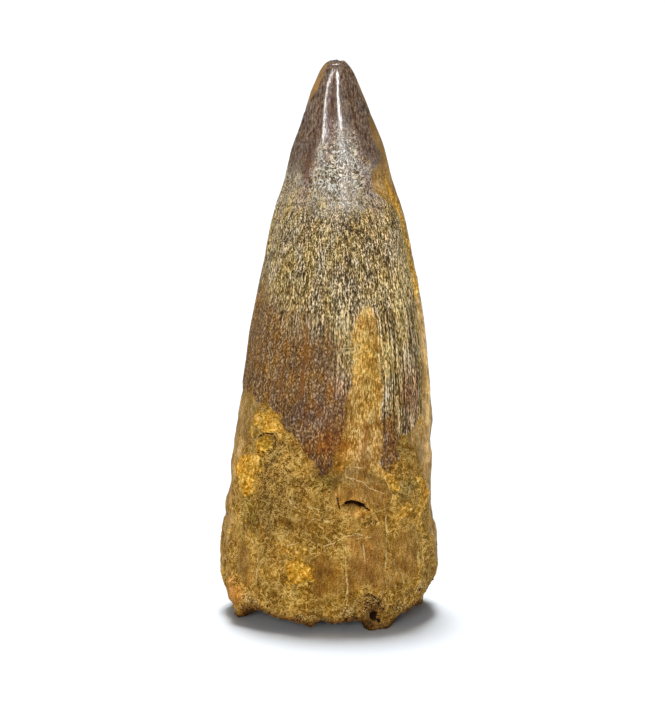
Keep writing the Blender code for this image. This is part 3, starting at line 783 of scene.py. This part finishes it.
def gather_points(full, tip, rim):
    """All points of the skin in mm, from the broken edge up to the tip, then the underside."""
    lower = np.stack([full.x, full.y, full.height], axis=-1)
    upper = np.stack([tip.x, tip.y, tip.height], axis=-1)
    tip_x, tip_y = centre(LENGTH)
    underside = base_rings(rim)
    middle = underside[-1].mean(axis=0, keepdims=True)
    parts = [lower.reshape(-1, 3), upper.reshape(-1, 3), [[tip_x, tip_y, LENGTH]]]
    points = np.concatenate(parts + underside + [middle])
    broken = LENGTH - TIP_CHIP + 0.15 * bumps(points[:, 0], points[:, 1], 130.0, 0.5)
    points[:, 2] = np.minimum(points[:, 2], broken)
    return points


def gather_faces(rows, tip_rows):
    """The faces between the rings, in the order of their points."""
    half_count = COLUMNS // 2
    full = [np.arange(COLUMNS) + i * COLUMNS for i in range(rows)]
    start = rows * COLUMNS
    half = [np.arange(half_count) + start + i * half_count for i in range(tip_rows)]
    apex = start + tip_rows * half_count
    base = [np.arange(half_count) + apex + 1 + i * half_count for i in range(BASE_RINGS - 1)]
    faces = []
    for lower, upper in zip(full, full[1:]):
        faces += join_rings(lower, upper)
    faces += join_to_half(full[-1], half[0], upward=True)
    for lower, upper in zip(half, half[1:]):
        faces += join_rings(lower, upper)
    faces += close_ring(half[-1], apex, upward=True)
    faces += join_to_half(full[0], base[0], upward=False)
    for outer, inner in zip(base, base[1:]):
        faces += join_rings(inner, outer)
    faces += close_ring(base[-1], base[-1][-1] + 1, upward=False)
    return faces


def gather_values(full, tip, below):
    """One value for each point: the side's own, then those of the tip and the underside."""
    under = np.repeat(below[None, ::2], BASE_RINGS - 1, axis=0).ravel()
    values = [full.ravel(), tip.ravel(), [tip.ravel()[-1]], under, [under[-1]]]
    return np.concatenate(values)


def pattern_place(turn, points):
    """Where each point is in the enamel's pattern: on an even cylinder, squeezed upwards.

    The pattern's lines then run up along the tooth. They are long on the lower crown, and short
    and crooked on the upper one, where the cylinder narrows with the tooth.
    """
    levels = np.linspace(0.0, LENGTH, PATTERN_LEVELS)
    squeeze = PATTERN_STRETCH[1] + (PATTERN_STRETCH[0] - PATTERN_STRETCH[1]) * smoothstep(
        PATTERN_CHANGE[1], PATTERN_CHANGE[0], levels)
    travelled = np.cumsum(1.0 / squeeze) * (levels[1] - levels[0])
    up = np.interp(points[:, 2], levels, travelled)
    radius = UNROLL * np.minimum(1.0, half_width(points[:, 2]) / half_width(EVEN_BELOW))
    turn = np.radians(turn)
    return np.stack([radius * np.sin(turn), radius * np.cos(turn), up], axis=1)


def unwrap(mesh, turn, points, first_under):
    """A map for painting on: the side rolled out at its true width, the underside beside it."""
    around = 2.0 * np.pi * half_width(points[:, 2]) * (1.0 + DEPTH_SHARE) / 2.0
    corner_of = np.zeros(len(mesh.loops), dtype=np.int32)
    mesh.loops.foreach_get("vertex_index", corner_of)
    first = np.zeros(len(mesh.polygons), dtype=np.int32)
    mesh.polygons.foreach_get("loop_start", first)
    share = turn[corner_of] / 360.0
    sizes = np.diff(np.append(first, len(corner_of)))
    widest = np.repeat(np.maximum.reduceat(share, first), sizes)
    share = np.where(widest - share > 0.5, share + 1.0, share)
    u = 0.5 + share * around[corner_of] / MAP_SPAN
    v = MAP_EDGE + points[corner_of, 2] / MAP_SPAN
    below = np.repeat(np.maximum.reduceat(corner_of, first) >= first_under, sizes)
    u = np.where(below, UNDER_PLACE[0] + UNDER_SCALE * points[corner_of, 0] / MAP_SPAN, u)
    v = np.where(below, UNDER_PLACE[1] + UNDER_SCALE * points[corner_of, 1] / MAP_SPAN, v)
    layer = mesh.uv_layers.new(name="OFBake")
    layer.data.foreach_set("uv", np.stack([u, v], axis=1).ravel().astype(np.float32))


def build_skin():
    """The tooth's skin as one closed mesh, with its masks stored at every point."""
    angles = ring_angles()
    low_rows, tip_rows = side_heights()
    full, tip = side(angles, low_rows), side(angles[::2], tip_rows)
    rim = np.stack([full.x[0], full.y[0], full.height[0]], axis=1)[::2]
    points = gather_points(full, tip, rim)
    middle = (points.min(axis=0) + points.max(axis=0)) / 2.0
    points = points - (middle[0], middle[1], 0.0)
    mesh = bpy.data.meshes.new("tooth_skin")
    mesh.from_pydata(points * MM, [], gather_faces(len(low_rows), len(tip_rows)))
    turn = gather_values(full.angle, tip.angle, full.angle[0])
    left = [gather_values(full.stain_and_painted_light[..., i], tip.stain_and_painted_light[..., i], full.stain_and_painted_light[0, :, i])
            for i in range(3)]
    for name, vectors in (("place", pattern_place(turn, points)), ("stain_and_painted_light", np.stack(left, 1))):
        layer = mesh.attributes.new(name, "FLOAT_VECTOR", "POINT")
        layer.data.foreach_set("vector", vectors.ravel().astype(np.float32))
    first_under = full.angle.size + tip.angle.size + 1
    for name in full.masks:
        values = gather_values(full.masks[name], tip.masks[name], full.masks[name][0])
        layer = mesh.attributes.new(name, "FLOAT", "POINT")
        layer.data.foreach_set("value", values.astype(np.float32))
    unwrap(mesh, turn, points, first_under)
    mesh.shade_smooth()
    skin = bpy.data.objects.new("tooth_skin", mesh)
    bpy.context.scene.collection.objects.link(skin)
    return skin


def linear(red, green, blue):
    """A screen colour, 0 to 255, as the light that it stands for."""
    screen = np.array([red, green, blue]) / 255.0
    light = np.where(screen <= 0.04045, screen / 12.92, ((screen + 0.055) / 1.055) ** 2.4)
    return (*light.tolist(), 1.0)


class Paint:
    """Builds the nodes of a material or the world, with a short call for each kind of node."""

    def __init__(self, owner, last):
        owner.use_nodes = True
        self.tree = owner.node_tree
        self.last = self.tree.nodes[last]

    def feed_last(self, looks):
        """Feed the last node, by the names of its sockets."""
        for name, value in looks.items():
            self.feed(self.last.inputs[name], value)

    def feed(self, socket, value):
        """Link a node's output into a socket, or set it to a number or colour."""
        if isinstance(value, bpy.types.NodeSocket):
            self.tree.links.new(value, socket)
        elif socket.type == "RGBA" and len(value) == 3:
            socket.default_value = linear(*value)
        else:
            socket.default_value = value

    def node(self, kind, fed, output=0, **settings):
        """A node of a kind, with its settings and what is fed into its sockets."""
        node = self.tree.nodes.new(kind)
        for name, value in settings.items():
            setattr(node, name, value)
        for key, value in fed.items():
            self.feed(node.inputs[key], value)
        return node.outputs[output]

    def math(self, operation, a, b=0.0, c=0.0):
        """Arithmetic on numbers."""
        return self.node("ShaderNodeMath", {0: a, 1: b, 2: c}, operation=operation)

    def times(self, a, b):
        return self.math("MULTIPLY", a, b)

    def plus(self, a, b):
        return self.math("ADD", a, b)

    def greater(self, a, b):
        return self.math("MAXIMUM", a, b)

    def opposite(self, a):
        return self.math("SUBTRACT", 1.0, a)

    def multiply(self, vector, shares):
        """A place or a colour with each of its parts multiplied."""
        return self.node("ShaderNodeVectorMath", {0: vector, 1: shares}, operation="MULTIPLY")

    def noise(self, vector, size, upward=1.0, detail=2.0, rough=0.6, warp=0.0):
        """Soft random values around 0.5, in spots of about a size in mm.

        The spots are taller than wide where upward, the scale up the tooth, is less than 1.
        """
        if upward != 1.0:
            vector = self.multiply(vector, (1.0, 1.0, upward))
        fed = {"Vector": vector, "Scale": 1.0 / size, "Detail": detail, "Roughness": rough,
               "Distortion": warp}
        return self.node("ShaderNodeTexNoise", fed)

    def between(self, value, low, high, start=0.0, end=1.0):
        """Go smoothly from start to end while the value goes from low to high."""
        fed = {0: value, 1: low, 2: high, 3: start, 4: end}
        return self.node("ShaderNodeMapRange", fed, interpolation_type="SMOOTHSTEP")

    def mix(self, amount, a, b):
        """Colour a, or b where the amount is 1."""
        return self.node("ShaderNodeMix", {0: amount, 6: a, 7: b}, output=2, data_type="RGBA")

    def mix_number(self, amount, a, b):
        """Number a, or b where the amount is 1."""
        return self.node("ShaderNodeMix", {0: amount, 2: a, 3: b}, data_type="FLOAT")

    def mask(self, name, output="Fac"):
        """A value stored at the skin's points."""
        return self.node("ShaderNodeAttribute", {}, output=output, attribute_name=name)

    def cast(self, value, colours):
        """A colour that drifts between two with the values of a noise."""
        return self.mix(self.between(value, 0.38, 0.62), *colours)

    def ragged(self, name, value, amount, low, high):
        """A mask with a border that the values of a noise make ragged."""
        return self.between(self.plus(self.mask(name), self.sum((value, amount))), low, high)

    def lines(self, value, width):
        """1 along the lines where a value passes its middle, 0 away from them."""
        away = self.math("ABSOLUTE", self.math("SUBTRACT", value, 0.5))
        return self.between(away, 0.25 * width, width, 1.0, 0.0)

    def sum(self, *parts):
        """Noises with weights, added up around 0.5."""
        total = 0.5 - 0.5 * sum(weight for _, weight in parts)
        for value, weight in parts:
            total = self.math("MULTIPLY_ADD", value, weight, total)
        return total

    def ramp(self, value, stops):
        """A colour that follows a value: each stop is a value and its colour."""
        node = self.tree.nodes.new("ShaderNodeValToRGB")
        elements = node.color_ramp.elements
        elements.remove(elements[1])
        elements[0].position, elements[0].color = stops[0][0], linear(*stops[0][1])
        for place, colour in stops[1:]:
            elements.new(place).color = linear(*colour)
        self.feed(node.inputs[0], value)
        return node.outputs[0]


def enamel_look(paint, at, place, grain):
    """Colour, roughness, height in mm and polish of the enamel, with painted highlight on its
    wrinkles.
    """
    wash, worm = paint.mask("wash"), paint.mask("worm")
    broad = paint.noise(place, 2.4, 0.5, rough=0.5)
    ridges = paint.noise(place, RIDGE_SIZE, 0.18, 1.0, 0.5)
    value = paint.sum((grain, 0.75), (ridges, 0.6), (broad, 0.14))
    value = paint.plus(value, paint.times(wash, 0.035))
    golden = paint.between(paint.noise(place, 1.8, rough=0.5), 0.42, 0.62, 0.0, 0.6)
    golden = paint.greater(golden, wash)
    colour = paint.mix(golden, paint.ramp(value, SANDY_ENAMEL), paint.ramp(value, GOLDEN_ENAMEL))
    streaks = paint.noise(place, 0.4, 0.3)
    flecks = paint.noise(at, 0.15, 0.5)
    marks = paint.sum((flecks, 0.8), (grain, 0.3), (streaks, 0.3))
    russet = paint.between(paint.noise(at, 0.9, 0.4), 0.44, 0.62)
    browned = paint.mix(russet, paint.ramp(marks, BROWN_ENAMEL), paint.ramp(marks, RUSSET_ENAMEL))
    brown = paint.ragged("brown", streaks, 1.6, 0.7, 1.3)
    colour = paint.mix(brown, colour, browned)
    # Lines of painted highlight along the wrinkles below the tip, standing for glints of light
    worms = paint.lines(paint.noise(at, WORM_SIZE, 0.7, 1.0, 0.5, 0.9), 0.085)
    weave = paint.noise(at, 0.16, 0.5)
    crooked = paint.mix(paint.times(worms, 0.9), paint.ramp(weave, WORM_ENAMEL), PAINTED_GLINT)
    colour = paint.mix(worm, colour, crooked)
    striae = paint.noise(paint.multiply(at, (1.0, 0.5, 0.1)), 0.16)
    mottles = paint.noise(at, 0.2, detail=1.0, rough=0.5)
    tipped = paint.ragged("tip", striae, 1.0, 0.7, 1.3)
    marks = paint.sum((striae, 0.9), (mottles, 0.3))
    colour = paint.mix(tipped, colour, paint.ramp(marks, TIP_ENAMEL))
    roughness = paint.mix_number(brown, paint.between(value, 0.45, 0.56, 0.5, 0.95), 0.5)
    polish = paint.greater(tipped, paint.times(worm, 0.6))
    crooked_height = paint.math("MULTIPLY_ADD", worms, 0.05, paint.times(weave, 0.03))
    height = paint.mix_number(worm, paint.times(grain, 0.05), crooked_height)
    polished = paint.math("MULTIPLY_ADD", mottles, 0.010, paint.times(striae, 0.008))
    return colour, roughness, paint.mix_number(tipped, height, polished), polish


def root_look(paint, at, place):
    """Colour, roughness and height in mm of the root, with its crusts, flakes and stains."""
    middling = paint.noise(at, 1.3, detail=3.0)
    small = paint.noise(at, 0.34)
    tiny = paint.noise(at, 0.125)
    upright = paint.noise(at, 0.17, 0.2)
    veins = paint.lines(paint.noise(at, 0.9, detail=3.0, warp=0.6), 0.034)
    plate, tan, strip = paint.mask("plate"), paint.mask("tan"), paint.mask("strip")
    calm = paint.greater(plate, tan)
    earth = paint.sum((middling, 0.5), (small, 0.4), (tiny, 0.8))
    colour = paint.ramp(earth, ROOT)
    grains = paint.sum((small, 0.5), (tiny, 1.0))
    colour = paint.mix(paint.mask("mottle"), colour, paint.ramp(grains, PALE_ROOT))
    busy = paint.math("MULTIPLY_ADD", calm, -0.6, 0.9)
    colour = paint.mix(paint.times(veins, busy), colour, VEIN)
    smooth = paint.ramp(paint.sum((upright, 0.6), (tiny, 0.4), (middling, 0.3)), TAN)
    smooth = paint.mix(paint.times(paint.mask("tip"), 0.8), smooth, CHIP_BROWN)
    colour = paint.mix(tan, colour, smooth)
    flake = paint.ramp(paint.sum((upright, 0.5), (middling, 0.4), (tiny, 0.6)), PLATE_LOOK)
    colour = paint.mix(plate, colour, flake)
    gold_grain = paint.noise(place, 0.14, rough=0.65)
    golden = paint.sum((gold_grain, 0.9), (middling, 0.5), (tiny, 0.4))
    colour = paint.mix(strip, colour, paint.ramp(golden, STRIP))
    sanded = paint.ragged("sand", small, 1.0, 0.65, 1.3)
    # Painted shade along the borders of the crusts
    border = paint.times(paint.times(sanded, paint.opposite(sanded)), 1.5)
    colour = paint.mix(border, colour, CRUST_BORDER_SHADE)
    lumps = paint.sum((small, 0.8), (middling, 0.4), (tiny, 0.5))
    crust = paint.mix(border, paint.ramp(lumps, YELLOW_SAND), CRUST_BORDER_SHADE)
    colour = paint.mix(sanded, colour, crust)
    clouds = paint.cast(paint.noise(at, 2.0, 0.8, 3.0), CLOUDS)
    colour = paint.multiply(colour, clouds)
    # Crumbled grains, with painted shade of small pits in their darkest places
    crumb = paint.ragged("crumb", small, 1.4, 0.95, 1.2)
    colour = paint.mix(crumb, colour, paint.ramp(grains, CRUMBS_WITH_PIT_SHADE))
    roughness = paint.mix_number(calm, 0.9, 0.65)
    bumpy = paint.plus(paint.times(small, 0.10), paint.times(tiny, 0.07))
    height = paint.times(bumpy, paint.mix_number(calm, 1.0, 0.4))
    height = paint.math("MULTIPLY_ADD", upright, 0.04, height)
    return colour, roughness, paint.mix_number(strip, height, paint.times(gold_grain, 0.07))


def draw_hairlines(paint, at):
    """1 along the fine light lines, broken here and there."""
    breaks = paint.noise(at, 0.5)
    aside = paint.sum((paint.mask("side"), 1.0), (breaks, 0.5))
    line = paint.between(paint.math("ABSOLUTE", aside), 0.085, 0.02)
    line = paint.times(line, paint.between(paint.mask("away"), 0.4, 0.2))
    return paint.times(line, paint.between(breaks, 0.36, 0.50))


def tooth_material():
    """Stained fossil enamel over a mottled root."""
    material = bpy.data.materials.new("fossil_surface")
    paint = Paint(material, "Principled BSDF")
    whole = paint.tree.nodes.new("ShaderNodeTexCoord").outputs["Object"]
    at = paint.multiply(whole, (1.0 / MM, 1.0 / MM, 1.0 / MM))
    place = paint.mask("place", "Vector")
    grain = paint.noise(place, GRAIN_SIZE, detail=1.0)
    enamel = enamel_look(paint, at, place, grain)
    root = root_look(paint, at, place)
    mixing = paint.math("MULTIPLY_ADD", paint.mask("rubbed"), 3.0, 0.4)
    depth = paint.times(paint.math("SUBTRACT", grain, 0.5), mixing)
    bare = paint.between(paint.plus(paint.mask("enamel"), depth), 0.06, -0.06)
    colour = paint.mix(bare, enamel[0], root[0])
    colour = paint.mix(paint.times(paint.mask("rust"), 0.8), colour, RUST)
    colour = paint.multiply(colour, paint.mask("stain_and_painted_light", "Vector"))
    colour = paint.multiply(colour, paint.cast(paint.noise(at, 0.9, 0.45, 3.0), WARMTH))
    colour = paint.mix(paint.times(draw_hairlines(paint, at), 0.7), colour, HAIRLINE)
    # Painted shade in the holes, cracks and the slit
    hole_and_crack_shade = paint.ragged("hole_and_crack_shade", paint.noise(at, 0.2), 0.8, 0.95, 1.1)
    colour = paint.mix(hole_and_crack_shade, colour, HOLE_SHADE)
    height = paint.mix_number(bare, enamel[2], root[2])
    normal = paint.node("ShaderNodeBump", {"Strength": 1.0, "Distance": MM, "Height": height})
    paint.feed_last({
        "Base Color": colour, "Roughness": paint.mix_number(bare, enamel[1], root[1]),
        "Coat Weight": paint.mix_number(bare, enamel[3], 0.0), "Coat Roughness": COAT_ROUGHNESS,
        "Normal": normal, "Coat Normal": normal, "Specular IOR Level": SPECULAR,
    })
    return material


def floor_material():
    """Matt white card."""
    material = bpy.data.materials.new("white_card")
    paint = Paint(material, "Principled BSDF")
    where = paint.tree.nodes.new("ShaderNodeTexCoord").outputs["Object"]
    colour = paint.mix(paint.noise(where, 0.4, rough=0.5), *FLOOR_COLOURS)
    paint.feed_last({"Base Color": colour, "Roughness": 1.0, "Specular IOR Level": 0.0})
    return material


def build_floor():
    """A wide white floor, rising softly at its far edges."""
    bm = bmesh.new()
    bmesh.ops.create_grid(bm, x_segments=FLOOR_STEPS, y_segments=FLOOR_STEPS, size=FLOOR_HALF)
    for vert in bm.verts:
        away = Vector((vert.co.x, vert.co.y)).length / FLOOR_HALF
        vert.co.z = FLOOR_RISE * FLOOR_HALF * max(0.0, away - FLOOR_FLAT) ** 2
    mesh = bpy.data.meshes.new("floor")
    bm.to_mesh(mesh)
    bm.free()
    mesh.shade_smooth()
    mesh.materials.append(floor_material())
    floor = bpy.data.objects.new("floor", mesh)
    bpy.context.scene.collection.objects.link(floor)
    floor.visible_glossy = False


def direction(azimuth, elevation):
    """The way from the tooth to something: azimuth 0 is in front of it, 90 to its right."""
    turn, rise = np.radians(azimuth), np.radians(elevation)
    return Vector((np.sin(turn) * np.cos(rise), -np.cos(turn) * np.cos(rise), np.sin(rise)))


def aim(item, azimuth, elevation, distance, target):
    """Put a light or camera at a distance from a target, looking at it."""
    way = direction(azimuth, elevation)
    item.location = target + way * distance
    item.rotation_mode = "QUATERNION"
    item.rotation_quaternion = (-way).to_track_quat("-Z", "Y")
    bpy.context.scene.collection.objects.link(item)


def add_lamp(name, kind, power, azimuth, elevation, distance, target):
    """A light that looks at a target."""
    lamp = bpy.data.lights.new(name, kind)
    lamp.energy = power
    item = bpy.data.objects.new(name, lamp)
    aim(item, azimuth, elevation, distance, target)
    return item


def light_scene():
    """White surroundings, a lamp above and behind, a low one in front, and two softboxes.

    The softboxes are long and narrow, and show as the two streaks on the polished tip.
    """
    world = bpy.data.worlds.new("white_room")
    bpy.context.scene.world = world
    room = Paint(world, "Background")
    seen = room.tree.nodes.new("ShaderNodeLightPath").outputs["Is Camera Ray"]
    room.feed_last({
        "Strength": room.mix_number(seen, ROOM_LIGHT, ROOM_SEEN),
        "Color": room.mix(seen, (*ROOM_TINT, 1.0), (1.0, 1.0, 1.0, 1.0)),
    })
    for name, azimuth, elevation, strength, spread, shows in SUNS:
        sun = add_lamp(name, "SUN", strength, azimuth, elevation, 1.0, Vector())
        sun.data.angle = np.radians(spread)
        sun.visible_glossy = shows
    for name, azimuth, elevation, width, height, power in SOFTBOXES:
        softbox = add_lamp(
            name, "AREA", power, azimuth, elevation, SOFTBOX_DISTANCE, Vector(SOFTBOX_TARGET))
        softbox.data.shape = "RECTANGLE"
        softbox.data.size, softbox.data.size_y = width, height
        softbox.visible_diffuse = False
    view = bpy.context.scene.view_settings
    view.view_transform = "Standard"
    view.look = "None"


def add_camera():
    """The photograph's view: a long lens, a little above the tooth."""
    lens = bpy.data.cameras.new("camera")
    lens.sensor_width = SENSOR
    lens.lens = SENSOR * CAMERA_DISTANCE / VIEW_HEIGHT
    lens.clip_end = CAMERA_REACH
    camera = bpy.data.objects.new("camera", lens)
    rise = np.radians(CAMERA_RISE)
    upward = Vector((0.0, np.sin(rise), np.cos(rise)))
    target = Vector((VIEW_RIGHT, 0.0, 0.0)) + VIEW_UP * upward
    aim(camera, 0.0, CAMERA_RISE, CAMERA_DISTANCE, target)
    bpy.context.scene.camera = camera


def main():
    skin = build_skin()
    skin.data.materials.append(tooth_material())
    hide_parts("tooth")
    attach(skin, "root")
    build_floor()
    light_scene()
    add_camera()


main()
